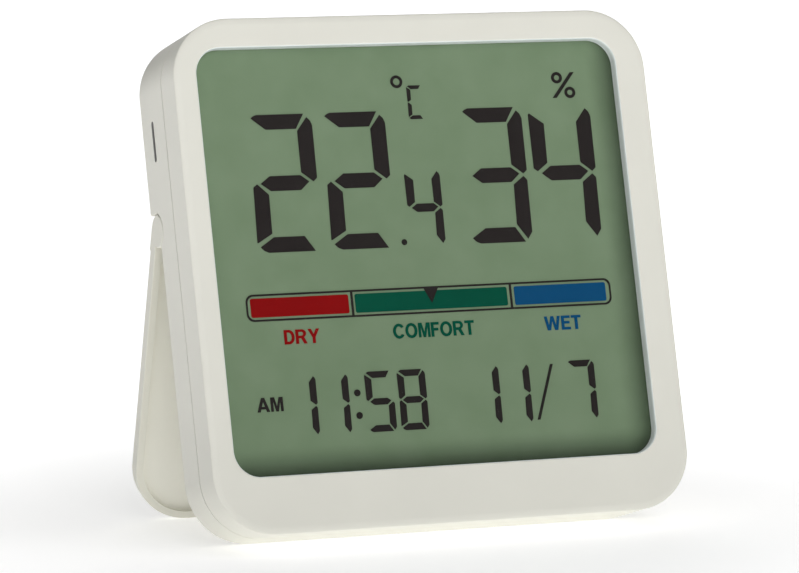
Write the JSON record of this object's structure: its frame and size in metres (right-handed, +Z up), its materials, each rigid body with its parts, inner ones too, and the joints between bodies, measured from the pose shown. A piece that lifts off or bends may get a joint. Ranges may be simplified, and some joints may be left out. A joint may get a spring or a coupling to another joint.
{
  "type": "home weather station",
  "caption": "Palm-size square indoor thermometer, hygrometer and clock with a segment display, leaning on a hinged stand that folds flush into its back.",
  "frame": {"origin": "middle of the underside of the station's box, on the surface that it stands on, with the stand open", "axes": "+Z up, -Y towards the reader of the display, +X to that reader's right; the case leans back 15.37 degrees"},
  "size_m": [0.08, 0.0412, 0.0807],
  "materials": {
    "shell": "fine matt moulded ABS",
    "stand_plastic": "fine matt moulded ABS",
    "keys": "satin moulded ABS",
    "lens": "clear acrylic with a soft anti-glare face",
    "display": "grey-green liquid crystal glass",
    "foil": "reflecting film",
    "inner_plastic": "natural moulded plastic",
    "conductive_rubber": "layered conductive silicone",
    "board": "green solder mask on glass-epoxy board",
    "black_resin": "black epoxy",
    "capacitor": "fired ceramic",
    "bright_steel": "bright pressed steel",
    "spring_strip": "nickel-plated spring strip",
    "screw_steel": "zinc-plated steel"
  },
  "bodies": {
    "case": {"front_shell": "shell", "rear_shell": "shell", "display_lens": "lens", "front_polariser": "display", "lcd_front_glass": "display", "lcd_rear_glass": "display", "lcd_reflector": "foil", "lcd_frame": "inner_plastic", "elastomer_strip": "conductive_rubber", "main_board": "board", "controller_chip": "black_resin", "climate_sensor": "black_resin", "timing_crystal": "bright_steel", "chip_capacitor_1": "capacitor", "chip_capacitor_2": "capacitor", "tact_switch_1": "bright_steel", "tact_switch_2": "bright_steel", "tact_switch_3": "bright_steel", "coin_cell": "bright_steel", "positive_contact": "spring_strip", "negative_contact": "spring_strip", "hinge_pin_left": "bright_steel", "hinge_pin_right": "bright_steel", "case_screw_1": "screw_steel", "case_screw_2": "screw_steel", "board_screw_1": "screw_steel", "board_screw_2": "screw_steel", "board_screw_3": "screw_steel", "board_screw_4": "screw_steel"},
    "stand": {"stand": "stand_plastic"},
    "battery_cover": {"battery_cover": "keys"},
    "button_1": {"button_1": "keys"},
    "button_2": {"button_2": "keys"},
    "button_3": {"button_3": "keys"}
  },
  "joints": [
    {"name": "stand_fold", "type": "hinge", "parent": "case", "child": "stand", "pos_m": [0, 0.00581, 0.04754], "axis": [1, 0, 0], "range_deg": [-30, 0]},
    {"name": "battery_cover_turn", "type": "hinge", "parent": "case", "child": "battery_cover", "pos_m": [-0.016, -0.00221, 0.02174], "axis": [0, 0.9642, -0.2651], "range_deg": [0, 45]},
    {"name": "button_1_press", "type": "slide", "parent": "case", "child": "button_1", "axis": [0, -0.9642, 0.2651], "range_m": [0, 0.0004], "stiffness_N_per_m": 2000},
    {"name": "button_2_press", "type": "slide", "parent": "case", "child": "button_2", "axis": [0, -0.9642, 0.2651], "range_m": [0, 0.0004], "stiffness_N_per_m": 2000},
    {"name": "button_3_press", "type": "slide", "parent": "case", "child": "button_3", "axis": [0, -0.9642, 0.2651], "range_m": [0, 0.0004], "stiffness_N_per_m": 2000}
  ]
}
